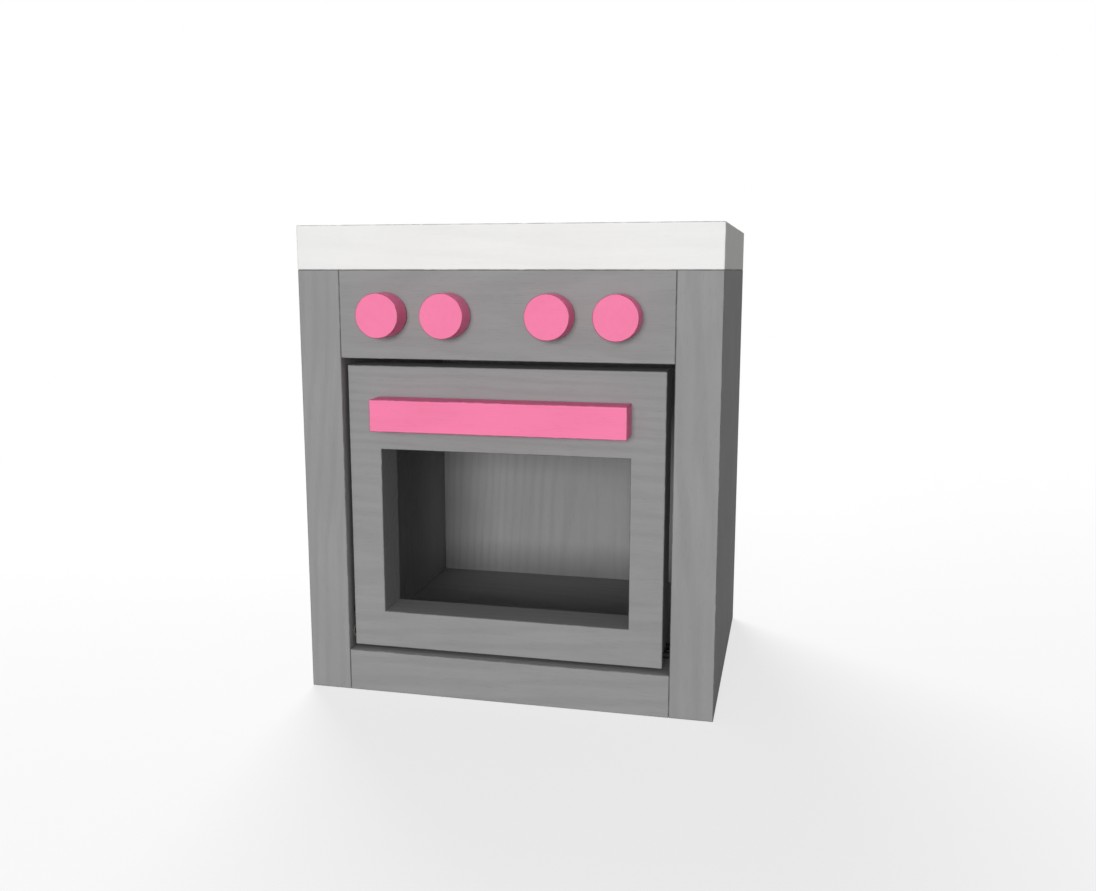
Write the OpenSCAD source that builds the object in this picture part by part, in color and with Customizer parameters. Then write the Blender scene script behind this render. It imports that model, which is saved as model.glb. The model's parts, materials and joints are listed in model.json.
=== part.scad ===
// Toy oven built of thick painted boards: four boards make the box, a knob panel and a thin back
// close it, and a board door with an open window drops down on pins. Four knobs turn in the panel
// and four hotplates are let into the worktop.
// X runs across the front, Y from the front to the back and Z up. The origin is on the floor,
// under the middle of the whole, from the knobs' faces to the back. All sizes are millimetres.

/* [Cabinet] */
// Width over both side boards
cabinet_w = 387; // [360:1:430]
// Depth from the front edges of the boards to the back
cabinet_d = 300; // [260:1:340]
// Height of the side boards, which is the underside of the worktop
side_h = 400; // [370:1:450]
// Thickness of the boards that the sides, the floor, the knob panel and the door are cut from
board_t = 40; // [36:0.5:44]
// Thickness of the worktop
worktop_t = 40; // [34:0.5:46]
// Height of the knob panel
panel_h = 80; // [72:1:96]
// Radius of the eased edges of the boards
arris_r = 1; // [0.5:0.1:1.4]

/* [Thin sheets] */
// Thickness of the back panel
back_t = 9; // [6:0.5:12]
// How far the back panel laps over the side boards and the worktop
back_lap = 12; // [10:0.5:14]
// Thickness of the sheet over the oven cavity
roof_t = 6; // [4:0.5:9]
// Depth of the grooves that hold the sheet over the cavity
roof_groove = 7; // [4:0.5:9]

/* [Door] */
// Gap between the door and the left side board
door_gap_left = 2.9; // [2:0.1:5]
// Gap between the door and the right side board
door_gap_right = 7.5; // [2:0.1:9]
// Gap under the door
door_gap_bottom = 3; // [2.8:0.1:5]
// Gap over the door
door_gap_top = 7; // [4:0.1:9]
// How far the door's face lies behind the front edges of the boards
door_recess = 7.5; // [0:0.1:12]
// Width of the door on each side of its window
window_side = 31.2; // [26:0.1:40]
// Height of the door under its window
window_sill = 35.2; // [30:0.1:45]
// Height of the door above its window
window_head = 77.9; // [72:0.1:100]

/* [Handle] */
// Length of the handle bar
handle_l = 235.5; // [180:0.5:250]
// Height of the handle bar
handle_h = 29.3; // [24:0.1:34]
// How far the handle bar stands out from the door
handle_reach = 25.7; // [22:0.1:32]
// Distance from the top of the door down to the handle bar
handle_drop = 28.4; // [15:0.1:36]
// Distance of each handle screw from the end of the bar
handle_screw_inset = 28; // [15:1:50]

/* [Door pins] */
// Diameter of the hinge pins and the stop pins
pin_d = 6; // [5:0.5:7]
// Distance of the hinge pins behind the door's face
pivot_setback = 8; // [6.5:0.1:8.2]
// Height of the hinge pins above the door's lower edge
pivot_rise = 11; // [10:0.1:16]
// Depth of the hinge pins' holes in the door
hinge_pin_seat = 30; // [20:1:40]
// Depth of the stop pins' holes in the door
stop_pin_seat = 20; // [15:1:30]
// Outer diameter of the bushes that the hinge pins turn in
bush_d = 12; // [11:0.5:14]
// Length of the bushes
bush_l = 20; // [12:0.5:24]
// Thickness of the closed end of the bushes
bush_floor = 1.6; // [1:0.1:3]
// Distance from the hinge pin to the stop pin
stop_radius = 22; // [18:0.5:24]
// Depth of the grooves that the stop pins run in
stop_groove_depth = 8; // [5:0.5:10]
// Angle that the door opens to
door_swing = 90; // [60:1:90]

/* [Knobs] */
// Diameter of the knobs
knob_d = 40; // [32:1:48]
// Length of the knobs
knob_l = 23.5; // [19:0.1:32]
// Distance between the two knobs of a pair
knob_pitch = 59.6; // [52:0.1:66]
// Distance between the middles of the two pairs
pair_pitch = 154; // [140:0.5:160]
// How far the row of knobs is shifted sideways from the middle
knob_row_shift = -1.3; // [-5:0.1:5]
// Diameter of the knob spindles
spindle_d = 12; // [10:0.5:14]
// Depth of the spindle's hole in the knob
spindle_seat = 15; // [12:0.5:17]
// Diameter of the washers in front of and behind the panel
washer_d = 24; // [20:0.5:28]
// Thickness of the washer in front of the panel
front_washer_t = 1; // [0.5:0.1:2]
// Thickness of the retaining washer behind the panel
retainer_t = 2; // [1:0.1:3]

/* [Hotplates] */
// Diameter of the hotplates
hotplate_d = 96; // [70:1:112]
// Thickness of the hotplates
hotplate_t = 6; // [5:0.5:8]
// How far the hotplates stand up from the worktop
hotplate_rise = 1.5; // [0.5:0.1:3]
// Distance between the hotplates, left to right
hotplate_pitch_x = 180; // [150:1:210]
// Distance between the hotplates, front to back
hotplate_pitch_y = 132; // [118:1:140]
// Number of ring grooves in each hotplate
ring_count = 2; // [1:1:4]
// Width of the ring grooves in the hotplates
ring_w = 2.4; // [1:0.1:4]
// Depth of the ring grooves in the hotplates
ring_depth = 1.2; // [0.5:0.1:2]

/* [Dowels and screws] */
// Diameter of the dowels
dowel_d = 10; // [8:0.5:12]
// Length of the dowels in each board that they join
dowel_half = 24; // [18:0.5:27]
// Distance of the outer dowels from the ends of their joints
dowel_inset = 45; // [30:1:60]
// Distance of the panel's dowels from its upper and lower edge
panel_dowel_inset = 18; // [14:0.5:24]
// Diameter of the handle screws' shanks
handle_screw_d = 4.5; // [4:0.1:5]
// Length of the handle screws under their heads
handle_screw_l = 45; // [42:0.5:46]
// Depth of the pockets that sink the handle screws in the door
handle_pocket = 12; // [8:0.5:15]
// Diameter of the small screws' shanks
small_screw_d = 3.5; // [3:0.1:4]
// Length of the small screws
small_screw_l = 25; // [20:0.5:30]
// Number of screws up each side of the back panel
back_screw_rows = 4; // [3:1:6]
// Room round a screw head in its pocket
pocket_room = 1; // [0.5:0.1:1.5]

/* [Fits] */
// Radial clearance of a part that turns in a bore
running_fit = 0.08; // [0.04:0.01:0.1]
// Radial clearance round a glued or driven part
glued_fit = 0.05; // [0.02:0.01:0.1]
// Clearance round a sheet in its groove
sheet_fit = 0.2; // [0.1:0.05:0.3]
// End play of the parts that turn
end_play = 0.3; // [0.2:0.05:0.5]
// Clearance round a stop pin in its groove
stop_fit = 0.4; // [0.3:0.05:0.6]

/* [Hidden] */
PAINT_GREY = [0.59, 0.59, 0.59];
PAINT_WHITE = [1, 1, 1];
PAINT_PINK = [1, 0.51, 0.68];
PAINT_CHARCOAL = [0.27, 0.27, 0.28];
BEECH = [0.80, 0.65, 0.47];
STEEL = [0.70, 0.71, 0.73];
NYLON = [0.90, 0.90, 0.87];

// Facets of the previews' round faces
$fn = 64;
// Facets of the edge radii
edge_fn = 24;
// Overrun of a cutter past the face that it opens
past = 1;

// Cabinet, from the outside in
knob_stand = front_washer_t + end_play + knob_l;
front_y = (knob_stand - cabinet_d) / 2;
back_y = front_y + cabinet_d;
inner_w = cabinet_w - 2 * board_t;
inner_x = inner_w / 2;
floor_top = board_t;
panel_z = side_h - panel_h;
cabinet_h = side_h + worktop_t;
back_face_y = back_y - back_t;

// Door
door_x = -inner_x + door_gap_left;
door_y = front_y + door_recess;
door_z = floor_top + door_gap_bottom;
door_w = inner_w - door_gap_left - door_gap_right;
door_h = panel_z - floor_top - door_gap_bottom - door_gap_top;
door_mid_x = door_x + door_w / 2;
window_w = door_w - 2 * window_side;
window_h = door_h - window_sill - window_head;
handle_z = door_z + door_h - handle_drop - handle_h;

// Door pins
pivot_y = door_y + pivot_setback;
pivot_z = door_z + pivot_rise;
stop_groove_w = pin_d + 2 * stop_fit;

// Knobs, left to right
knob_xs = [for (pair = [-1, 1], one = [-1, 1])
    knob_row_shift + pair * pair_pitch / 2 + one * knob_pitch / 2];
knob_z = panel_z + panel_h / 2;
knob_back_y = front_y - front_washer_t - end_play;
spindle_front_y = knob_back_y - spindle_seat;
panel_back_y = front_y + board_t;
spindle_end_y = panel_back_y + end_play;

// Screw heads, as shares of the shank's diameter
head_d_share = 2;
head_h_share = 0.6;
handle_pocket_d = handle_screw_d * head_d_share + 2 * pocket_room;

// Dowels
floor_d = cabinet_d - back_t;
floor_dowel_ys = [for (y = [dowel_inset, floor_d / 2, floor_d - dowel_inset]) front_y + y];
top_dowel_x = inner_x + board_t / 2;
panel_dowel_zs = [panel_z + panel_dowel_inset, side_h - panel_dowel_inset];
panel_dowel_y = front_y + board_t / 2;

// ---------- Shapes that several pieces share ----------

// Rectangle from the origin, with its corners rounded
module eased_rect(w, h, r) {
    translate([r, 0]) square([w - 2 * r, h]);
    translate([0, r]) square([w, h - 2 * r]);
    for (x = [r, w - r], y = [r, h - r]) {
        translate([x, y]) circle(r = r, $fn = edge_fn);
    }
}

// Board from the origin, with all its edges eased
module eased_board(size, r) {
    intersection() {
        linear_extrude(size.z) eased_rect(size.x, size.y, r);
        translate([0, size.y, 0]) rotate([90, 0, 0]) linear_extrude(size.y) eased_rect(size.x, size.z, r);
        rotate([90, 0, 90]) linear_extrude(size.x) eased_rect(size.y, size.z, r);
    }
}

// Round block along +Z with both its rims eased
module eased_disc(d, h, r) {
    rotate_extrude() {
        square([d / 2 - r, h]);
        translate([0, r]) square([d / 2, h - 2 * r]);
        for (z = [r, h - r]) {
            translate([d / 2 - r, z]) circle(r = r, $fn = edge_fn);
        }
    }
}

// Opening through a board of thickness t whose faces are at y = 0 and y = t, with its lips rounded
module eased_gap(w, t, r) {
    translate([0, -past]) square([w, t + 2 * past]);
    for (lip = [0, 1]) {
        translate([0, lip * t]) mirror([0, lip]) difference() {
            translate([-r, -past]) square([w + 2 * r, r + past]);
            for (x = [-r, w + r]) {
                translate([x, r]) circle(r = r, $fn = edge_fn);
            }
        }
    }
}

// Rectangular window through such a board, w wide and h high, with its lips rounded
module eased_window(w, h, t, r) {
    intersection() {
        translate([0, 0, -r]) linear_extrude(h + 2 * r) eased_gap(w, t, r);
        translate([w + r, 0, 0]) rotate([0, -90, 0]) linear_extrude(w + 2 * r) eased_gap(h, t, r);
    }
}

// Wood screw along +Z, with the underside of its shank's start at the origin and its point up
module screw_shank(d, l) {
    cylinder(d = d, h = l - d);
    translate([0, 0, l - d]) cylinder(d1 = d, d2 = d / 4, h = d);
}

// Countersunk screw, its flat head level with the origin
module sunk_screw(d, l) {
    cylinder(d1 = d * head_d_share, d2 = d, h = d * head_h_share);
    screw_shank(d, l);
}

// Screw with a cheese head, which sits on the face at the origin
module headed_screw(d, l) {
    translate([0, 0, -d * head_h_share]) cylinder(d = d * head_d_share, h = d * head_h_share);
    screw_shank(d, l);
}

// Hole for a countersunk screw, opened past the face
module sunk_screw_hole(d, l) {
    head_d = d * head_d_share + 2 * glued_fit;
    hole_d = d + 2 * glued_fit;
    cylinder(d = hole_d, h = l + glued_fit);
    translate([0, 0, -past]) cylinder(d = head_d, h = past);
    cylinder(d1 = head_d, d2 = hole_d, h = d * head_h_share + glued_fit);
}

// Plain round pin or bore along +X from a point
module rod_x(at, d, l) {
    translate(at) rotate([0, 90, 0]) cylinder(d = d, h = l);
}

// Round pin or bore along +Y from a point
module rod_y(at, d, l) {
    translate(at) rotate([-90, 0, 0]) cylinder(d = d, h = l);
}

// ---------- Dowels and the bores for them ----------

// The dowels of the joints between the floor board and both side boards
module floor_dowel_set(extra) {
    for (y = floor_dowel_ys, x = [-inner_x, inner_x]) {
        rod_x([x - dowel_half - extra, y, board_t / 2], dowel_d + 2 * extra, 2 * (dowel_half + extra));
    }
}

// The dowels of the joints between the knob panel and both side boards
module panel_dowel_set(extra) {
    for (z = panel_dowel_zs, x = [-inner_x, inner_x]) {
        rod_x([x - dowel_half - extra, panel_dowel_y, z], dowel_d + 2 * extra, 2 * (dowel_half + extra));
    }
}

// The dowels that stand in the side boards and hold the worktop
module worktop_dowel_set(extra) {
    for (y = floor_dowel_ys, x = [-top_dowel_x, top_dowel_x]) {
        translate([x, y, side_h - dowel_half - extra]) {
            cylinder(d = dowel_d + 2 * extra, h = 2 * (dowel_half + extra));
        }
    }
}

module floor_dowels() {
    color(BEECH) floor_dowel_set(0);
}

module worktop_dowels() {
    color(BEECH) worktop_dowel_set(0);
}

module panel_dowels() {
    color(BEECH) panel_dowel_set(0);
}

// ---------- Cabinet ----------

// Quarter-circle groove for a stop pin, cut into a side board's inner face at x = 0 towards -X
module stop_groove() {
    translate([past, pivot_y, pivot_z]) rotate([0, -90, 0]) {
        depth = stop_groove_depth + past;
        // After this turn, the groove's plane has +X up the board and +Y to its back
        rotate([0, 0, 90 - door_swing]) rotate_extrude(angle = door_swing) {
            translate([stop_radius - stop_groove_w / 2, 0]) square([stop_groove_w, depth]);
        }
        for (turn = [0, door_swing]) {
            rotate([0, 0, 90 - turn]) translate([stop_radius, 0, 0]) cylinder(d = stop_groove_w, h = depth);
        }
    }
}

// Left side board; the right one is its mirror image
module side_board() {
    outer_x = -cabinet_w / 2;
    color(PAINT_GREY) difference() {
        translate([outer_x, front_y, 0]) eased_board([board_t, cabinet_d, side_h], arris_r);
        // Rebate for the back panel
        translate([-inner_x - back_lap, back_face_y, -past]) {
            cube([back_lap + past, back_t + past, side_h + 2 * past]);
        }
        // Groove for the sheet over the cavity, stopped inside the knob panel's joint
        translate([-inner_x - roof_groove, panel_back_y - roof_groove, panel_z]) {
            cube([roof_groove + past, back_face_y - panel_back_y + roof_groove + past, roof_t + sheet_fit]);
        }
        floor_dowel_set(glued_fit);
        panel_dowel_set(glued_fit);
        worktop_dowel_set(glued_fit);
        // Seat of the hinge bush
        rod_x([-inner_x - bush_l, pivot_y, pivot_z], bush_d + 2 * glued_fit, bush_l + past);
        translate([-inner_x, 0, 0]) stop_groove();
        back_screw_set() sunk_screw_hole(small_screw_d, small_screw_l);
    }
}

module side_left() {
    side_board();
}

module side_right() {
    mirror([1, 0, 0]) side_board();
}

module floor_board() {
    color(PAINT_GREY) difference() {
        translate([-inner_x, front_y, 0]) eased_board([inner_w, floor_d, board_t], arris_r);
        floor_dowel_set(glued_fit);
        back_screw_set() sunk_screw_hole(small_screw_d, small_screw_l);
    }
}

module knob_panel() {
    color(PAINT_GREY) difference() {
        translate([-inner_x, front_y, panel_z]) eased_board([inner_w, board_t, panel_h], arris_r);
        for (x = knob_xs) {
            rod_y([x, front_y - past, knob_z], spindle_d + 2 * running_fit, board_t + 2 * past);
        }
        // Rebate that holds the front edge of the sheet over the cavity
        translate([-inner_x - past, panel_back_y - roof_groove, panel_z - past]) {
            cube([inner_w + 2 * past, roof_groove + past, roof_t + sheet_fit + past]);
        }
        panel_dowel_set(glued_fit);
    }
}

module worktop() {
    color(PAINT_WHITE) difference() {
        translate([-cabinet_w / 2, front_y, side_h]) {
            eased_board([cabinet_w, cabinet_d, worktop_t], arris_r);
        }
        // Rebate for the top edge of the back panel
        translate([-inner_x - back_lap, back_face_y, side_h - past]) {
            cube([inner_w + 2 * back_lap, back_t + past, back_lap + past]);
        }
        hotplate_places() cylinder(d = hotplate_d + 2 * sheet_fit, h = hotplate_t + past);
        worktop_dowel_set(glued_fit);
        back_screw_set() sunk_screw_hole(small_screw_d, small_screw_l);
    }
}

// Sheet over the oven cavity, in the grooves of the side boards and of the knob panel
module oven_roof() {
    roof_w = inner_w + 2 * (roof_groove - sheet_fit);
    roof_d = back_face_y - panel_back_y + roof_groove - 2 * sheet_fit;
    color(PAINT_GREY) translate([-roof_w / 2, panel_back_y - roof_groove + sheet_fit, panel_z]) {
        cube([roof_w, roof_d, roof_t]);
    }
}

module back_panel() {
    panel_w = inner_w + 2 * (back_lap - sheet_fit);
    color(PAINT_GREY) difference() {
        translate([-panel_w / 2, back_face_y, 0]) cube([panel_w, back_t, side_h + back_lap - sheet_fit]);
        back_screw_set() sunk_screw_hole(small_screw_d, small_screw_l);
    }
}

// Puts its child at each back screw, along +Z into the wood: up both sides, and two over and two under
module back_screw_set() {
    edge_x = inner_x + back_lap / 2;
    low = board_t + 2 * back_lap;
    high = side_h - 2 * back_lap;
    side_places = [for (s = [-1, 1], k = [0 : back_screw_rows - 1])
        [s * edge_x, low + k * (high - low) / (back_screw_rows - 1)]];
    end_places = [for (s = [-1, 1], z = [board_t / 2, side_h + back_lap / 2]) [s * inner_w / 4, z]];
    for (place = concat(side_places, end_places)) {
        translate([place.x, back_y, place.y]) rotate([90, 0, 0]) children();
    }
}

module back_screws() {
    color(STEEL) back_screw_set() sunk_screw(small_screw_d, small_screw_l);
}

// ---------- Hotplates ----------

// Puts its child over the middle of each hotplate that is asked for
module hotplate_places(sides = [-1, 1], rows = [-1, 1]) {
    for (s = sides, r = rows) {
        x = s * hotplate_pitch_x / 2;
        y = front_y + cabinet_d / 2 + r * hotplate_pitch_y / 2;
        translate([x, y, cabinet_h + hotplate_rise - hotplate_t]) children();
    }
}

module hotplate(s, r) {
    ring_step = hotplate_d / (2 * ring_count + 1);
    color(PAINT_CHARCOAL) hotplate_places([s], [r]) difference() {
        eased_disc(hotplate_d, hotplate_t, arris_r / 2);
        for (k = [1 : ring_count]) {
            rotate_extrude() translate([k * ring_step - ring_w / 2, hotplate_t - ring_depth]) {
                square([ring_w, ring_depth + past]);
            }
        }
    }
}

// ---------- Door ----------

// Puts its child at both handle screws, along +Z from the pocket's floor towards the handle
module handle_screw_places() {
    for (s = [-1, 1]) {
        x = door_mid_x + s * (handle_l / 2 - handle_screw_inset);
        y = door_y + board_t - handle_pocket;
        translate([x, y, handle_z + handle_h / 2]) rotate([90, 0, 0]) children();
    }
}

// Pin in the door's left or right edge, or the hole for it, reaching into the side board's wood
module door_pin(left, y, seat, reach, extra) {
    x = left ? door_x - door_gap_left - reach : door_x + door_w - seat - extra;
    gap = left ? door_gap_left : door_gap_right;
    rod_x([x, y, pivot_z], pin_d + 2 * extra, seat + extra + gap + reach);
}

module hinge_pin(left, extra = 0) {
    door_pin(left, pivot_y, hinge_pin_seat, bush_l - bush_floor - end_play, extra);
}

module stop_pin(left, extra = 0) {
    door_pin(left, pivot_y + stop_radius, stop_pin_seat, stop_groove_depth - 2 * stop_fit, extra);
}

module door_board() {
    color(PAINT_GREY) difference() {
        translate([door_x, door_y, door_z]) eased_board([door_w, board_t, door_h], arris_r);
        translate([door_x + window_side, door_y, door_z + window_sill]) {
            eased_window(window_w, window_h, board_t, arris_r);
        }
        for (left = [true, false]) {
            hinge_pin(left, glued_fit);
            stop_pin(left, glued_fit);
        }
        handle_screw_places() {
            translate([0, 0, -handle_pocket - past]) cylinder(d = handle_pocket_d, h = handle_pocket + past);
            cylinder(d = handle_screw_d + 2 * glued_fit, h = board_t);
        }
    }
}

module door_handle() {
    color(PAINT_PINK) difference() {
        translate([door_mid_x - handle_l / 2, door_y - handle_reach, handle_z]) {
            eased_board([handle_l, handle_reach, handle_h], arris_r);
        }
        handle_screw_places() cylinder(d = handle_screw_d + 2 * glued_fit, h = handle_screw_l + glued_fit);
    }
}

module handle_screws() {
    color(STEEL) handle_screw_places() headed_screw(handle_screw_d, handle_screw_l);
}

module hinge_pin_left() {
    color(STEEL) hinge_pin(true);
}

module hinge_pin_right() {
    color(STEEL) hinge_pin(false);
}

module stop_pin_left() {
    color(STEEL) stop_pin(true);
}

module stop_pin_right() {
    color(STEEL) stop_pin(false);
}

// Cup bush in a side board, flush with its inner face; the left one, and mirrored the right one
module hinge_bush() {
    color(NYLON) difference() {
        rod_x([-inner_x - bush_l, pivot_y, pivot_z], bush_d, bush_l);
        rod_x([-inner_x - bush_l + bush_floor, pivot_y, pivot_z], pin_d + 2 * running_fit, bush_l);
    }
}

module hinge_bush_left() {
    hinge_bush();
}

module hinge_bush_right() {
    mirror([1, 0, 0]) hinge_bush();
}

// ---------- Knobs ----------

module knob(k) {
    x = knob_xs[k];
    color(PAINT_PINK) difference() {
        translate([x, knob_back_y, knob_z]) rotate([90, 0, 0]) eased_disc(knob_d, knob_l, arris_r);
        rod_y([x, spindle_front_y - glued_fit, knob_z], spindle_d + 2 * glued_fit, spindle_seat + past);
    }
}

module spindle(k) {
    x = knob_xs[k];
    color(BEECH) difference() {
        rod_y([x, spindle_front_y, knob_z], spindle_d, spindle_end_y - spindle_front_y);
        translate([x, spindle_end_y + past, knob_z]) rotate([90, 0, 0]) {
            cylinder(d = small_screw_d + 2 * glued_fit, h = small_screw_l + past);
        }
    }
}

// Washer on a knob's axis, from the plane y towards the back
module washer(k, y, t, hole_d) {
    difference() {
        rod_y([knob_xs[k], y, knob_z], washer_d, t);
        rod_y([knob_xs[k], y - past, knob_z], hole_d, t + 2 * past);
    }
}

module front_washer(k) {
    color(NYLON) washer(k, front_y - front_washer_t, front_washer_t, spindle_d + 2 * running_fit);
}

module retainer(k) {
    color(STEEL) washer(k, spindle_end_y, retainer_t, small_screw_d + 2 * glued_fit);
}

module retainer_screw(k) {
    color(STEEL) translate([knob_xs[k], spindle_end_y + retainer_t, knob_z]) rotate([90, 0, 0]) {
        headed_screw(small_screw_d, small_screw_l);
    }
}

// ---------- Nodes ----------

side_left();
side_right();
floor_board();
worktop();
knob_panel();
back_panel();
oven_roof();
floor_dowels();
worktop_dowels();
panel_dowels();
back_screws();
hotplate(-1, -1);  // hotplate_front_left
hotplate(1, -1);  // hotplate_front_right
hotplate(-1, 1);  // hotplate_rear_left
hotplate(1, 1);  // hotplate_rear_right
hinge_bush_left();
hinge_bush_right();
door_board();
door_handle();
handle_screws();
hinge_pin_left();
hinge_pin_right();
stop_pin_left();
stop_pin_right();
front_washer(0);  // front_washer_1
front_washer(1);  // front_washer_2
front_washer(2);  // front_washer_3
front_washer(3);  // front_washer_4
knob(0);  // knob_1
knob(1);  // knob_2
knob(2);  // knob_3
knob(3);  // knob_4
spindle(0);  // spindle_1
spindle(1);  // spindle_2
spindle(2);  // spindle_3
spindle(3);  // spindle_4
retainer(0);  // retainer_1
retainer(1);  // retainer_2
retainer(2);  // retainer_3
retainer(3);  // retainer_4
retainer_screw(0);  // retainer_screw_1
retainer_screw(1);  // retainer_screw_2
retainer_screw(2);  // retainer_screw_3
retainer_screw(3);  // retainer_screw_4
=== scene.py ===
# %% [markdown]
# # A painted toy oven
# The oven is a box of thick boards, painted grey, under a white worktop. A grey door with an open
# window drops down in front, and the knobs and the handle bar are pink. The boards, the holes and
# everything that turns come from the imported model, already in place and at their real size. This
# script only gives them their finish, makes the screws that have a cross cut in their heads, and sets
# up the light and the camera. Lengths are in metres.

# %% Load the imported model
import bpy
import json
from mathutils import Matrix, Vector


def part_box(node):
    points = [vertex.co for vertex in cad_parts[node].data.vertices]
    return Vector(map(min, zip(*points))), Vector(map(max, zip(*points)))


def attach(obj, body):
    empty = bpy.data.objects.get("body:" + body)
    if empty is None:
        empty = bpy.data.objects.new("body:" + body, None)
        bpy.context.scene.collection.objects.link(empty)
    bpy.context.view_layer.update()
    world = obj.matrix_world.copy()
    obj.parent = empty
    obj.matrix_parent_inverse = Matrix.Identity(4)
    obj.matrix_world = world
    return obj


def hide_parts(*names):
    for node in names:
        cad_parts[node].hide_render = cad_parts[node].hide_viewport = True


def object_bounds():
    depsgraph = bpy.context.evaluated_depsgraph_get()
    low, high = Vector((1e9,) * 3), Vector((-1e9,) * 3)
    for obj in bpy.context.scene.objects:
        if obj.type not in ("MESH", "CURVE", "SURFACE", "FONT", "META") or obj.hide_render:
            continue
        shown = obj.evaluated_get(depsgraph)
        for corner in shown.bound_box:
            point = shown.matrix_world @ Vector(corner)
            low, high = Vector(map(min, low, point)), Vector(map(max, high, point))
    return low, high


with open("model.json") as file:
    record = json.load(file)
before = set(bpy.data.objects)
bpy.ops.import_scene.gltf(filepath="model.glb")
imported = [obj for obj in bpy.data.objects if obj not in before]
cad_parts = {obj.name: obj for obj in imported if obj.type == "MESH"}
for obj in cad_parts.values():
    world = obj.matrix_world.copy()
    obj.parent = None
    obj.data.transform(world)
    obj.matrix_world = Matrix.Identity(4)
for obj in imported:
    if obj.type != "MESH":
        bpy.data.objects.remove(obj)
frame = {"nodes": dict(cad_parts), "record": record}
model_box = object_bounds()
print("model", [round(v, 4) for corner in model_box for v in corner])

# %% The other tools
import json
import math
import bmesh
import bpy
from mathutils import Vector

MM = 0.001
scene = bpy.context.scene
scene.view_settings.view_transform = "Standard"

# %% [markdown]
# ## The camera
# The lens and the place of the camera could be found by trial. Here they come from the picture's own
# edges: the boards are all square to each other, so the corners of the oven in the picture fix where
# the camera stood. It stood to the right of the oven, level with the underside of the worktop, and
# looked slightly down and to the left.

# %% Camera
CAMERA_PLACE = Vector((253.4, -1050.5, 400)) * MM
CAMERA_PITCH = math.radians(9.347)
CAMERA_YAW = math.radians(13.05)
CAMERA_LENS = 35.05
FILM_WIDTH = 36

camera_data = bpy.data.cameras.new("camera")
camera_data.lens = CAMERA_LENS
camera_data.sensor_width = FILM_WIDTH
camera = bpy.data.objects.new("camera", camera_data)
camera.location = CAMERA_PLACE
camera.rotation_euler = (math.pi / 2 - CAMERA_PITCH, 0, CAMERA_YAW)
scene.collection.objects.link(camera)
scene.camera = camera
print("camera", [round(v, 3) for v in CAMERA_PLACE], "m, lens", CAMERA_LENS, "mm")

# %% [markdown]
# ## Node trees as sums
# A material's pattern is arithmetic on numbers that change over a surface. It can be wired by hand,
# node by node, but it reads better as a sum. So `Value` wraps one output of a node, and the operators
# of Python on it add Math nodes. `Graph` adds every other node, through one method that takes the
# node's type, its settings and what goes into its sockets.

# %% Values
class Value:
    """A number that changes over a surface: one output socket of a node tree."""

    def __init__(self, graph, socket):
        self.graph = graph
        self.socket = socket

    def maths(self, operation, *values):
        return self.graph.add("ShaderNodeMath", {"operation": operation}, dict(enumerate(values)))

    def __add__(self, other):
        return self.maths("ADD", self, other)

    def __sub__(self, other):
        return self.maths("SUBTRACT", self, other)

    def __rsub__(self, other):
        return self.maths("SUBTRACT", other, self)

    def __mul__(self, other):
        return self.maths("MULTIPLY", self, other)

    def __truediv__(self, other):
        return self.maths("DIVIDE", self, other)

    def __rtruediv__(self, other):
        return self.maths("DIVIDE", other, self)

    def __neg__(self):
        return self.maths("MULTIPLY", self, -1)

    def __abs__(self):
        return self.maths("ABSOLUTE", self)

    __radd__ = __add__
    __rmul__ = __mul__

    def at_least(self, other):
        return self.maths("MAXIMUM", self, other)

    def wave(self):
        """A wave from 0 to 1 and back, once for each unit of the value."""
        angle = self * math.tau
        return angle.maths("SINE", angle) * 0.5 + 0.5

    def between(self, low, high):
        """0 up to low, 1 from high, and a smooth rise between them."""
        settings = {"interpolation_type": "SMOOTHSTEP"}
        sockets = {"Value": self, "From Min": low, "From Max": high}
        return self.graph.add("ShaderNodeMapRange", settings, sockets)


# %% Graphs
class Graph:
    """A node tree, of a material or of geometry, that is built from expressions."""

    def __init__(self, tree):
        self.tree = tree

    def plug(self, socket, value):
        """Links a socket to a Value, or to each of a list of them, or sets it to a plain value."""
        values = value if isinstance(value, list) else [value]
        if not isinstance(values[0], Value):
            socket.default_value = value
            return
        for each in reversed(values):
            self.tree.links.new(each.socket, socket)

    def add(self, kind, settings=None, sockets=None, output=0):
        """Adds a node: its settings first, then its sockets, by name or by number."""
        node = self.tree.nodes.new(kind)
        for name, value in (settings or {}).items():
            setattr(node, name, value)
        for name, value in (sockets or {}).items():
            self.plug(node.inputs[name], value)
        return Value(self, node.outputs[output]) if len(node.outputs) else node


# %% [markdown]
# ## What the finishes share
# Noise gives every irregular pattern here: the clouding of a coat of paint, the strokes of a brush and
# the fibres of bare wood. It reads the piece's own Object coordinates, in metres, so each pattern has
# its real size and stays on its board when the door opens. A seed shifts the pattern, because two
# boards side by side were painted apart.

# %% Colours
def linear(*srgb):
    """A colour as on a paint chart, 0 to 255, as the numbers that light works with."""
    shares = [value / 255 for value in srgb]
    return [s / 12.92 if s <= 0.04045 else ((s + 0.055) / 1.055) ** 2.4 for s in shares] + [1]


def shade(colour, factor):
    """The same colour, darker or lighter."""
    return [min(channel * factor, 1) for channel in colour[:3]] + [1]


# %% A material's node tree
SEED_SHIFT = (0.37, 0.53, 0.71)


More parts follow.
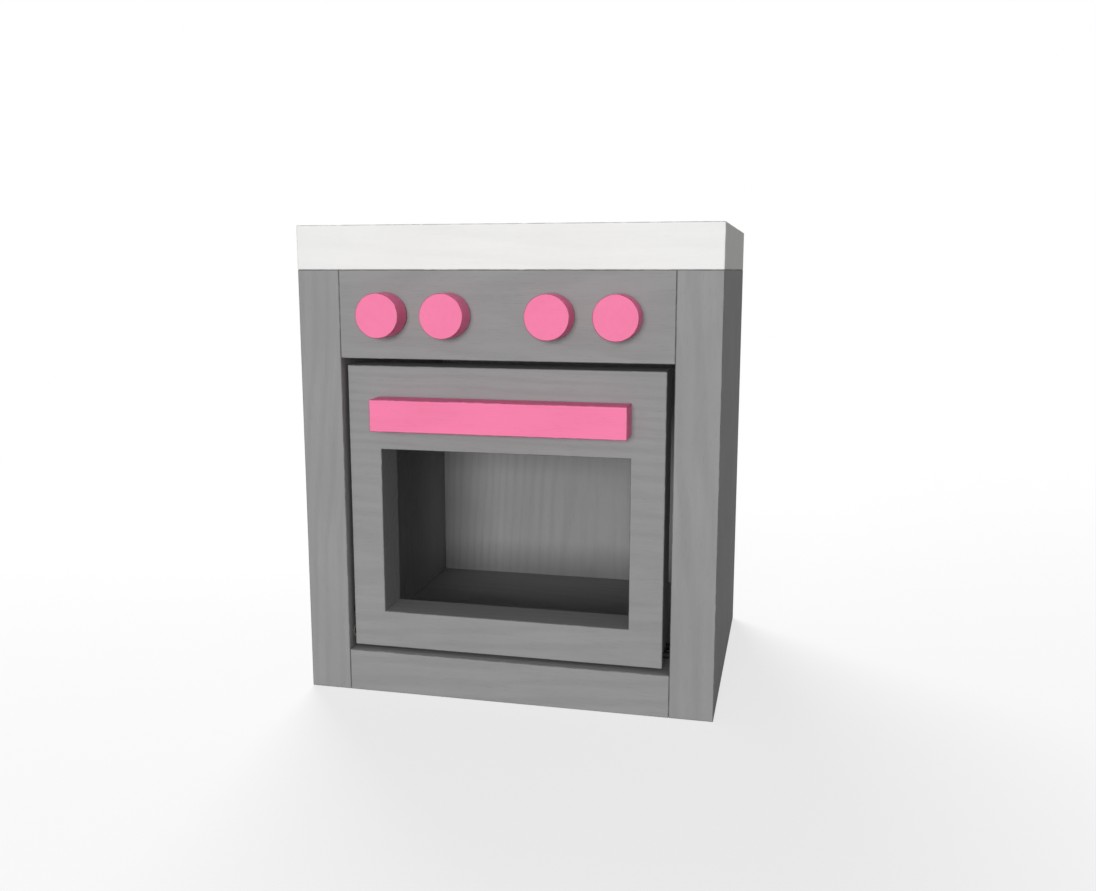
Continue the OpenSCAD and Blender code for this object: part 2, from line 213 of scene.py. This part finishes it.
class Finish(Graph):
    """A material's node tree, with the coordinates and the noise that the finishes need."""

    def __init__(self, name, seed=0):
        self.material = bpy.data.materials.new(name)
        self.material.use_nodes = True
        self.material.node_tree.nodes.clear()
        super().__init__(self.material.node_tree)
        self.seed = seed

    def place(self, scale, shift):
        """The place on the piece, with each axis scaled, and then shifted."""
        here = self.add("ShaderNodeTexCoord", output="Object")
        return self.add("ShaderNodeMapping", None, {"Vector": here, "Location": shift, "Scale": scale})

    def noise(self, size, stretch=(1, 1, 1), detail=2):
        """Noise from 0 to 1, whose lumps are about size metres across."""
        here = self.place([s / size for s in stretch], [self.seed * s / size for s in SEED_SHIFT])
        return self.add("ShaderNodeTexNoise", None, {"Vector": here, "Scale": 1, "Detail": detail})

    def distance(self, centre, scale):
        """How far the place is from a centre, with each axis scaled."""
        here = self.place(scale, [-c * s for c, s in zip(centre, scale)])
        return self.add("ShaderNodeVectorMath", {"operation": "LENGTH"}, {0: here}, output="Value")

    def normal(self):
        """The surface's direction on the piece itself, as three numbers."""
        direction = self.add("ShaderNodeTexCoord", output="Normal")
        node = self.add("ShaderNodeSeparateXYZ", None, {"Vector": direction}).socket.node
        return [Value(self, output) for output in node.outputs]

    def mix(self, factor, first, second):
        """Colour first where factor is 0 and second where it is 1."""
        node = self.add("ShaderNodeMix", {"data_type": "RGBA"}, {0: factor, 6: first, 7: second}).socket.node
        return Value(self, node.outputs[2])

    def bump(self, height, depth):
        return self.add("ShaderNodeBump", None, {"Height": height, "Distance": depth, "Strength": 1})

    def surface(self, **sockets):
        """Ends the tree in one Principled shader. Socket names are written with _ for a space."""
        named = {name.replace("_", " "): value for name, value in sockets.items()}
        shader = self.add("ShaderNodeBsdfPrincipled", None, named)
        self.add("ShaderNodeOutputMaterial", None, {"Surface": shader})
        return self.material


# %% [markdown]
# ## The edges of a board
# Paint is thinnest on an edge. Sanding between the coats and years of small hands go through it there,
# to the darker undercoat. A mask for that could be painted by hand, or taken from how sharply the mesh
# bends. Here it comes from the direction of the surface. A board's flat faces point along an axis and
# its eased edges don't, so the edge is where no axis has nearly all of the direction. A turned piece
# has its rim where the surface points partly along the axis that it was turned about.

# %% Edge masks
EDGE_STARTS, EDGE_FULL = 0.02, 0.14


def board_edge(finish):
    """1 on the eased edges of a board, 0 on its faces."""
    x, y, z = [abs(part) for part in finish.normal()]
    return (1 - x.at_least(y).at_least(z)).between(EDGE_STARTS, EDGE_FULL)


def turned_edge(finish, axis):
    """1 on the eased rims of a piece that was turned about the axis, 0 on its ends and its side."""
    along = abs(finish.normal()[axis])
    return (along * (1 - along)).between(EDGE_STARTS, EDGE_FULL)


# %% [markdown]
# ## The wood under the paint
# Two coats of paint don't hide wood altogether. The hard late wood of each year's ring stands a few
# hundredths of a millimetre proud, and the coat is a little thinner on it. A flat noise would do from
# a distance. Here the rings are cut the way a saw cuts them: they are sheets round the heart of the
# trunk, which lies behind the board and a little aslant, so a face shows long lines that run together
# in points. Lathe marks are rings too, round the piece's own axis.

# %% Rings
ALONG_X, ALONG_Y, ALONG_Z = range(3)
RING_SPACING, TRUNK_TAPER = 7 * MM, 0.06
RING_WOBBLE, WOBBLE_SHARE, WOBBLE_RINGS = 60 * MM, 0.25, 2
HEART_BEHIND, HEART_FURTHER, HEART_ALONG = 60 * MM, 1.4, 1500 * MM
HEART_RIGHT, HEART_LEFT = 0.12, -0.2
LATE_WOOD_STARTS = 0.35
LATHE_SPACING, LATHE_TREMBLE, TREMBLE_RINGS = 1.7 * MM, 9 * MM, 0.8


def stretch_along(axis, share):
    """Scale for a pattern that is long along one axis."""
    return [share if a == axis else 1 for a in range(3)]


def growth_rings(finish, node, fibres):
    """The year rings of a board, 0 to 1."""
    low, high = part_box(node)
    heart = (low + high) / 2
    thin = min(range(3), key=lambda a: high[a] - low[a])
    wide = 3 - thin - fibres
    heart[thin] += HEART_BEHIND * (1 if finish.seed % 2 else HEART_FURTHER)
    heart[wide] += (high[wide] - low[wide]) * (HEART_RIGHT if finish.seed % 3 else HEART_LEFT)
    heart[fibres] += HEART_ALONG * (1 if finish.seed % 2 else -1)
    scale = stretch_along(fibres, TRUNK_TAPER)
    wobble = finish.noise(RING_WOBBLE, stretch_along(fibres, WOBBLE_SHARE), detail=3)
    rings = finish.distance(heart, scale) / RING_SPACING + wobble * WOBBLE_RINGS
    return rings.wave().between(LATE_WOOD_STARTS, 1)


def lathe_rings(finish, node, axis):
    """The rings that a lathe leaves round the axis of a turned piece, 0 to 1."""
    low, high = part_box(node)
    from_axis = finish.distance((low + high) / 2, stretch_along(axis, 0))
    return (from_axis / LATHE_SPACING + finish.noise(LATHE_TREMBLE) * TREMBLE_RINGS).wave()


# %% [markdown]
# ## Paint
# The boards are painted with a matt furniture paint, with a brush and then a roller. Such a coat has
# long soft strokes, a fine stipple about a millimetre apart, and a colour that clouds a little where
# the coat is thicker. It sinks into the open pores of the wood, which stay as short dark dashes. One
# flat colour would look like plastic close by. All of it is one function, because only the colour, the
# rings and the edges change from piece to piece. Figure says how much of the wood shows: a pale paint
# needs an extra coat, which hides more.

# %% Paint
CLOUD_SIZE, SMEAR_SIZE, STIPPLE_SIZE, RUB_SIZE = 80 * MM, 24 * MM, 1.1 * MM, 11 * MM
STROKE_WIDTH, STROKE_SHARE = 6 * MM, 0.04
FIBRE_WIDTH, FIBRE_SHARE = 1.3 * MM, 0.04
PORE_WIDTH, PORE_SHARE = 0.9 * MM, 0.07
RELIEF_DEPTH = 0.12 * MM
PAINT_SPECULAR = 0.15
CLOUD_SHADE, MARK_SHADE, RUB_COVER = 0.03, 0.8, 0.75
STROKE_MARK, RING_MARK, FIBRE_MARK, PORE_MARK, STIPPLE_MARK = 0.22, 0.24, 0.14, 0.3, 0.2
STIPPLE_RELIEF, FIBRE_RELIEF, RING_RELIEF, PORE_RELIEF = 0.35, 0.2, 0.25, 0.4


def paint(finish, colour, undercoat, fibres, rings, edge, roughness=0.82, figure=1.0):
    """Matt paint. Rings and edge are masks, and fibres is the axis that the brush follows."""
    cloud = finish.noise(CLOUD_SIZE, detail=3).between(0.3, 0.7)
    stroke = finish.noise(STROKE_WIDTH, stretch_along(fibres, STROKE_SHARE), detail=3)
    fibre = finish.noise(FIBRE_WIDTH, stretch_along(fibres, FIBRE_SHARE))
    pore = finish.noise(PORE_WIDTH, stretch_along(fibres, PORE_SHARE), detail=1).between(0.6, 0.72)
    stipple = finish.noise(STIPPLE_SIZE, detail=1)
    smear = finish.noise(SMEAR_SIZE, detail=4)
    rub = edge * finish.noise(RUB_SIZE, detail=3).between(0.2, 0.6)
    marks = (stroke.between(0.3, 0.75) * STROKE_MARK + rings * RING_MARK + fibre * FIBRE_MARK
             + pore * PORE_MARK + (stipple - 0.5) * STIPPLE_MARK)
    relief = stipple * STIPPLE_RELIEF + fibre * FIBRE_RELIEF + rings * RING_RELIEF - pore * PORE_RELIEF
    thick, thin = shade(colour, 1 + CLOUD_SHADE * figure), shade(colour, 1 - CLOUD_SHADE * figure)
    coat = finish.mix(marks * figure, finish.mix(cloud, thin, thick), shade(colour, MARK_SHADE))
    return finish.surface(
        Base_Color=finish.mix(rub * RUB_COVER, coat, undercoat),
        Roughness=roughness + (smear - 0.5) * 0.14 + (stroke - 0.5) * 0.1,
        Specular_IOR_Level=PAINT_SPECULAR,
        Normal=finish.bump(relief, RELIEF_DEPTH))


# %% [markdown]
# ## The colours of the pieces
# Grey is the body, white the worktop, pink what hands touch, and charcoal the hotplates. Each board
# gets a material of its own, with its fibres along its length and its own seed. One material on
# them all would be shorter, but its pattern would run on across every joint.

# %% Give a material to a node
def give(node, material):
    slots = frame["nodes"][node].data.materials
    slots.clear()
    slots.append(material)


# %% Paint the boards
GREY, WHITE, PINK = linear(154, 154, 154), linear(243, 243, 241), linear(255, 134, 176)
GREY_UNDER, WHITE_UNDER, PINK_UNDER = linear(88, 88, 88), linear(150, 150, 148), linear(150, 70, 98)

FIBRES_OF = {
    "side_left": ALONG_Z, "side_right": ALONG_Z, "back_panel": ALONG_Z, "oven_roof": ALONG_X,
    "floor_board": ALONG_X, "knob_panel": ALONG_X, "door_board": ALONG_X,
}


def paint_board(node, colour_name, colour, undercoat, fibres, seed, figure=1.0):
    finish = Finish(f"{colour_name} paint {node}", seed)
    rings, edge = growth_rings(finish, node, fibres), board_edge(finish)
    give(node, paint(finish, colour, undercoat, fibres, rings, edge, figure=figure))


for number, (node, fibres) in enumerate(FIBRES_OF.items()):
    paint_board(node, "grey", GREY, GREY_UNDER, fibres, number)
paint_board("worktop", "white", WHITE, WHITE_UNDER, ALONG_X, seed=11, figure=0.35)
paint_board("door_handle", "pink", PINK, PINK_UNDER, ALONG_X, seed=12, figure=0.6)
print("painted", len(FIBRES_OF) + 2, "boards")

# %% Paint the turned pieces
CHARCOAL, CHARCOAL_UNDER = linear(60, 60, 62), linear(104, 104, 105)


def paint_turned(node, colour_name, colour, undercoat, axis, seed):
    finish = Finish(f"{colour_name} paint {node}", seed)
    rings, edge = lathe_rings(finish, node, axis), turned_edge(finish, axis)
    give(node, paint(finish, colour, undercoat, axis, rings, edge, roughness=0.72, figure=0.7))


KNOBS = ["knob_1", "knob_2", "knob_3", "knob_4"]
HOTPLATES = sorted(node for node in frame["nodes"] if node.startswith("hotplate"))
for number, node in enumerate(KNOBS):
    paint_turned(node, "pink", PINK, PINK_UNDER, ALONG_Y, seed=20 + number)
for number, node in enumerate(HOTPLATES):
    paint_turned(node, "charcoal", CHARCOAL, CHARCOAL_UNDER, ALONG_Z, seed=30 + number)
print("painted", len(KNOBS), "knobs and", len(HOTPLATES), "hotplates")

# %% [markdown]
# ## Beech, steel and nylon
# The dowels and the knobs' spindles are bare beech, with fine fibres and the short dark flecks of that
# wood. The screws, and the washers behind the knob panel, are zinc-plated steel, clouded by the
# plating. The door's pins are blackened, so that they don't shine in the gap beside the door. The
# bushes, and the washers behind the knobs, are milky nylon with a fine matt grain. Most of these
# pieces are hidden, and a few show in the gaps.

# %% Beech
BEECH_PALE, BEECH_DARK, BEECH_FLECK = linear(214, 178, 134), linear(190, 148, 102), linear(138, 94, 58)
FLECK_WIDTH, FLECK_SHARE = 0.5 * MM, 0.16


def beech(name, fibres):
    finish = Finish(name)
    fibre = finish.noise(FIBRE_WIDTH, stretch_along(fibres, FIBRE_SHARE), detail=4)
    fleck = finish.noise(FLECK_WIDTH, stretch_along(fibres, FLECK_SHARE)).between(0.62, 0.7)
    wood = finish.mix(fibre.between(0.3, 0.7), BEECH_PALE, BEECH_DARK)
    return finish.surface(
        Base_Color=finish.mix(fleck * 0.6, wood, BEECH_FLECK),
        Roughness=0.62 + (fibre - 0.5) * 0.2,
        Normal=finish.bump(fibre - fleck * 0.3, 0.05 * MM))


# %% Steel and nylon
ZINC, ZINC_DULL = linear(196, 199, 203), linear(158, 160, 162)
BLACKENED, BLACKENED_WORN = linear(30, 30, 32), linear(50, 49, 48)
NYLON = linear(232, 230, 220)


def steel(name, length, bright=ZINC, dull=ZINC_DULL, roughness=0.3):
    finish = Finish(name)
    brushing = finish.noise(0.25 * MM, stretch_along(length, 0.03))
    clouding = finish.noise(5 * MM, detail=3).between(0.3, 0.75)
    return finish.surface(
        Base_Color=finish.mix(clouding, bright, dull),
        Metallic=1.0,
        Roughness=roughness + clouding * 0.12 + (brushing - 0.5) * 0.12,
        Normal=finish.bump(brushing, 0.01 * MM))


def nylon(name):
    finish = Finish(name)
    milk = finish.noise(6 * MM, detail=2)
    grain = finish.noise(0.4 * MM)
    return finish.surface(
        Base_Color=finish.mix(milk, shade(NYLON, 0.95), NYLON),
        Roughness=0.5 + (grain - 0.5) * 0.1,
        Normal=finish.bump(grain, 0.01 * MM))


# %% Give them out
BEECH_ALONG = [beech("beech along " + axis, number) for number, axis in enumerate("xyz")]
ZINC_STEEL = steel("zinc steel", ALONG_Y)
BLACKENED_STEEL = steel("blackened steel", ALONG_X, BLACKENED, BLACKENED_WORN, roughness=0.7)
NYLON_PLAIN = nylon("nylon")
BEECH_FIBRES = {"floor_dowels": ALONG_X, "panel_dowels": ALONG_X, "worktop_dowels": ALONG_Z}

for part in frame["record"]["subparts"]:
    node, slot = part["node"], part["material_slot"]
    if slot == "bare_beech":
        give(node, BEECH_ALONG[BEECH_FIBRES.get(node, ALONG_Y)])
    elif slot == "steel":
        give(node, BLACKENED_STEEL if "_pin_" in node else ZINC_STEEL)
    elif slot == "nylon":
        give(node, NYLON_PLAIN)
bare = [node for node, piece in frame["nodes"].items() if not piece.data.materials]
print("nodes without a finish:", bare)

# %% [markdown]
# ## Screws with a cross in their heads
# The model's screws have plain heads. Real ones have a cross cut in them for the driver. Every screw
# could be cut by hand, but they repeat, so Geometry Nodes make one screw and set a copy of it at each
# point. The head is a cone or a short cylinder, two crossed blocks are cut out of it, and each copy is
# turned by its own chance amount, as screws are. The places and the sizes are read from the model's
# own screws.

# %% The screws' places
WELD = 0.01 * MM


def solids_of(node):
    """The lowest and highest corner of each separate solid in a node of the model."""
    mesh = bmesh.new()
    mesh.from_mesh(frame["nodes"][node].data)
    bmesh.ops.remove_doubles(mesh, verts=mesh.verts, dist=WELD)
    left, boxes = set(mesh.verts), []
    while left:
        found, waiting = [], [left.pop()]
        while waiting:
            vert = waiting.pop()
            found.append(vert.co.copy())
            near = {other for edge in vert.link_edges for other in edge.verts} & left
            left -= near
            waiting.extend(near)
        boxes.append([Vector([pick(place[a] for place in found) for a in range(3)]) for pick in (min, max)])
    mesh.free()
    return sorted(boxes, key=lambda box: (round(box[0].z, 4), round(box[0].x, 4)))


print("back screws", len(solids_of("back_screws")), "handle screws", len(solids_of("handle_screws")))

# %% The screw tree's inputs
SCREW_SIZES = ["Head diameter", "Under the head", "Head height", "Shank diameter", "Length",
               "Cross length", "Cross width", "Cross depth"]

screw_tree = bpy.data.node_groups.new("crosshead screws", "GeometryNodeTree")
sockets = {"Points": "Geometry", "Seed": "Int", "Material": "Material"}
sockets.update((name, "Float") for name in SCREW_SIZES)
SOCKET_OF = {
    name: screw_tree.interface.new_socket(name, in_out="INPUT", socket_type="NodeSocket" + kind).identifier
    for name, kind in sockets.items()}
screw_tree.interface.new_socket("Screws", in_out="OUTPUT", socket_type="NodeSocketGeometry")

screws = Graph(screw_tree)
group = screws.add("NodeGroupInput").socket.node
given = {output.name: Value(screws, output) for output in group.outputs if output.name}
print("screw inputs", list(given))

# %% Helpers for solids in a tree
def vector(x, y, z):
    return screws.add("ShaderNodeCombineXYZ", None, {0: x, 1: y, 2: z})


def moved(geometry, x, y, z, tilt=(0, 0, 0)):
    sockets = {"Geometry": geometry, "Translation": vector(x, y, z), "Rotation": tilt}
    return screws.add("GeometryNodeTransform", None, sockets)


# %% [markdown]
# The screw is built point down, with the face of its head at height 0. A node's cone has its base at
# height 0 and its top above, so the head is moved down by its own height.

# %% The head with its cross
ROUND_SIDES = 32

head = screws.add("GeometryNodeMeshCone", None, {
    "Vertices": ROUND_SIDES, "Radius Top": given["Head diameter"] / 2,
    "Radius Bottom": given["Under the head"] / 2, "Depth": given["Head height"]})
head = moved(head, 0, 0, -given["Head height"])
long, narrow, deep = given["Cross length"], given["Cross width"], given["Cross depth"] * 2
cross = [screws.add("GeometryNodeMeshCube", None, {"Size": size})
         for size in (vector(long, narrow, deep), vector(narrow, long, deep))]
cut_head = screws.add("GeometryNodeMeshBoolean", {"operation": "DIFFERENCE", "solver": "EXACT"},
                      {"Mesh 1": head, "Mesh 2": cross})

# %% The shank and its point
shank = given["Shank diameter"]
rod_length = given["Length"] - given["Head height"] - shank
rod = screws.add("GeometryNodeMeshCylinder", None,
                 {"Vertices": ROUND_SIDES, "Radius": shank / 2, "Depth": rod_length})
tip = screws.add("GeometryNodeMeshCone", None, {
    "Vertices": ROUND_SIDES, "Radius Top": shank / 2, "Radius Bottom": shank / 8, "Depth": shank})
rod = moved(rod, 0, 0, -given["Head height"] - rod_length / 2)
screw = screws.add("GeometryNodeJoinGeometry", None, {0: [cut_head, rod, moved(tip, 0, 0, -given["Length"])]})

# %% A copy on each point, turned by chance
HEAD_TOWARDS_Y = (-math.pi / 2, 0, 0)

turn = screws.add("FunctionNodeRandomValue", {"data_type": "FLOAT"},
                  {3: math.pi, "Seed": given["Seed"]}, output=1)
copies = screws.add("GeometryNodeInstanceOnPoints", None, {
    "Points": given["Points"], "Instance": moved(screw, 0, 0, 0, HEAD_TOWARDS_Y),
    "Rotation": vector(0, turn, 0)})
solid = screws.add("GeometryNodeRealizeInstances", None, {"Geometry": copies})
finished = screws.add("GeometryNodeSetMaterial", None, {"Geometry": solid, "Material": given["Material"]})
screws.add("NodeGroupOutput", None, {"Screws": finished})
print("screw tree", len(screw_tree.nodes), "nodes")

# %% Make the screws
SMOOTH_UNDER = math.radians(35)
CROSS_LENGTH, CROSS_WIDTH, CROSS_DEPTH = 0.62, 0.14, 0.75


def crosshead_screws(node, body, head_height, sunk, seed):
    """Screws with a cross in their heads, in the place of a node of plain ones."""
    boxes = solids_of(node)
    low, high = boxes[0]
    head_d, length = high.x - low.x, high.y - low.y
    shank_d = head_d / 2
    sizes = [head_d, shank_d if sunk else head_d, head_height, shank_d, length,
             head_d * CROSS_LENGTH, head_d * CROSS_WIDTH, head_height * CROSS_DEPTH]
    points = bpy.data.meshes.new("points")
    points.from_pydata([((a.x + b.x) / 2, b.y, (a.z + b.z) / 2) for a, b in boxes], [], [])
    holder = bpy.data.objects.new("points", points)
    scene.collection.objects.link(holder)
    modifier = holder.modifiers.new("screws", "NODES")
    modifier.node_group = screw_tree
    for name, value in {**dict(zip(SCREW_SIZES, sizes)), "Seed": seed, "Material": ZINC_STEEL}.items():
        modifier[SOCKET_OF[name]] = value
    made = bpy.data.meshes.new_from_object(holder.evaluated_get(bpy.context.evaluated_depsgraph_get()))
    bpy.data.objects.remove(holder)
    made.shade_smooth()
    made.set_sharp_from_angle(angle=SMOOTH_UNDER)
    piece = bpy.data.objects.new("crosshead_" + node, made)
    scene.collection.objects.link(piece)
    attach(piece, body)
    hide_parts(node)
    reach = max(vertex.co.y for vertex in made.vertices) - high.y
    print(piece.name, len(boxes), "screws", len(made.polygons), "faces")
    print("  reach past the plain ones", round(reach, 5))


crosshead_screws("back_screws", "cabinet", head_height=2.1 * MM, sunk=True, seed=3)
crosshead_screws("handle_screws", "door", head_height=2.7 * MM, sunk=False, seed=5)
for number in range(1, 5):
    crosshead_screws(f"retainer_screw_{number}", f"turning_knob_{number}", 2.1 * MM, False, seed=7 + number)

# %% [markdown]
# ## Floor and background
# The picture's ground is plain white. A white floor could be lit until it is white, but then the white
# worktop would burn out. So the floor is a pale board that the camera sees brighter than the lamps
# make it. It still takes the oven's shadow, and further out it fades to the same white as the
# background, so there is no line where it ends.

# %% Floor
FLOOR_HALF = 6
FLOOR_DROP = 0.2 * MM
FLOOR_ALBEDO = 0.3
FLOOR_GLOW = 0.7
FADE_STARTS, FADE_ENDS = 0.4, 1.6

floor_mesh = bpy.data.meshes.new("floor")
corners = [(x * FLOOR_HALF, y * FLOOR_HALF, -FLOOR_DROP) for x, y in ((-1, -1), (1, -1), (1, 1), (-1, 1))]
floor_mesh.from_pydata(corners, [], [(0, 1, 2, 3)])
floor = bpy.data.objects.new("floor", floor_mesh)
scene.collection.objects.link(floor)

# %% The floor's paint
def white_rays(graph):
    """1 for what the camera sees, straight or in a mirror or through glass, and 0 for light itself."""
    rays = graph.add("ShaderNodeLightPath").socket.node.outputs
    kinds = [Value(graph, rays[name]) for name in ("Is Camera Ray", "Is Glossy Ray", "Is Transmission Ray")]
    return kinds[0].at_least(kinds[1]).at_least(kinds[2])


ground = Finish("floor")
seen = white_rays(ground)
pale = ground.add("ShaderNodeBsdfDiffuse", None, {"Color": [FLOOR_ALBEDO] * 3 + [1]})
glow = ground.add("ShaderNodeEmission", None, {"Strength": seen * FLOOR_GLOW})
lit_floor = ground.add("ShaderNodeAddShader", None, {0: pale, 1: glow})
white = ground.add("ShaderNodeEmission", None, {"Strength": seen})
far = ground.distance((0, 0, 0), (1, 1, 1)).between(FADE_STARTS, FADE_ENDS)
faded = ground.add("ShaderNodeMixShader", None, {0: far * seen, 1: lit_floor, 2: white})
ground.add("ShaderNodeOutputMaterial", None, {"Surface": faded})
floor_mesh.materials.append(ground.material)

# %% [markdown]
# ## Light
# The picture is lit from the front: the faces towards us are bright, and all the others are about a
# quarter as bright. One large soft lamp stands in front, low, so that it reaches through the window
# to the back of the oven. It stands far off, so that the inner back panel gets almost as much of its
# light as the door does. Another stands high behind, for the back and the top. Its light doesn't
# reach what the picture shows, because the worktop is in its way. The world gives a weak light from
# all sides, and shows white to the camera and in reflections.

# %% Lamps
middle = (model_box[0] + model_box[1]) / 2


def soft_lamp(name, place, side, brightness):
    """A square lamp that looks at the oven. Brightness 1 shows a facing colour as it is written."""
    distance = (Vector(place) - middle).length
    data = bpy.data.lights.new(name, "AREA")
    data.shape = "SQUARE"
    data.size = side
    data.energy = brightness * (math.pi * distance) ** 2
    lamp = bpy.data.objects.new(name, data)
    lamp.location = place
    lamp.rotation_euler = (middle - lamp.location).to_track_quat("-Z", "Y").to_euler()
    scene.collection.objects.link(lamp)
    print(name, round(distance, 2), "m away,", round(data.energy), "W")


soft_lamp("front_lamp", (0.2, -6.0, 0.8), side=2.0, brightness=0.79)
soft_lamp("rear_lamp", (-1.0, 1.9, 2.2), side=1.6, brightness=0.9)

# %% World
SKY_LIGHT = 0.25

world = bpy.data.worlds.new("studio")
world.use_nodes = True
world.node_tree.nodes.clear()
scene.world = world
sky = Graph(world.node_tree)
backdrop = sky.add("ShaderNodeBackground", None, {
    "Color": (1, 1, 1, 1), "Strength": SKY_LIGHT + white_rays(sky) * (1 - SKY_LIGHT)})
sky.add("ShaderNodeOutputWorld", None, {"Surface": backdrop})
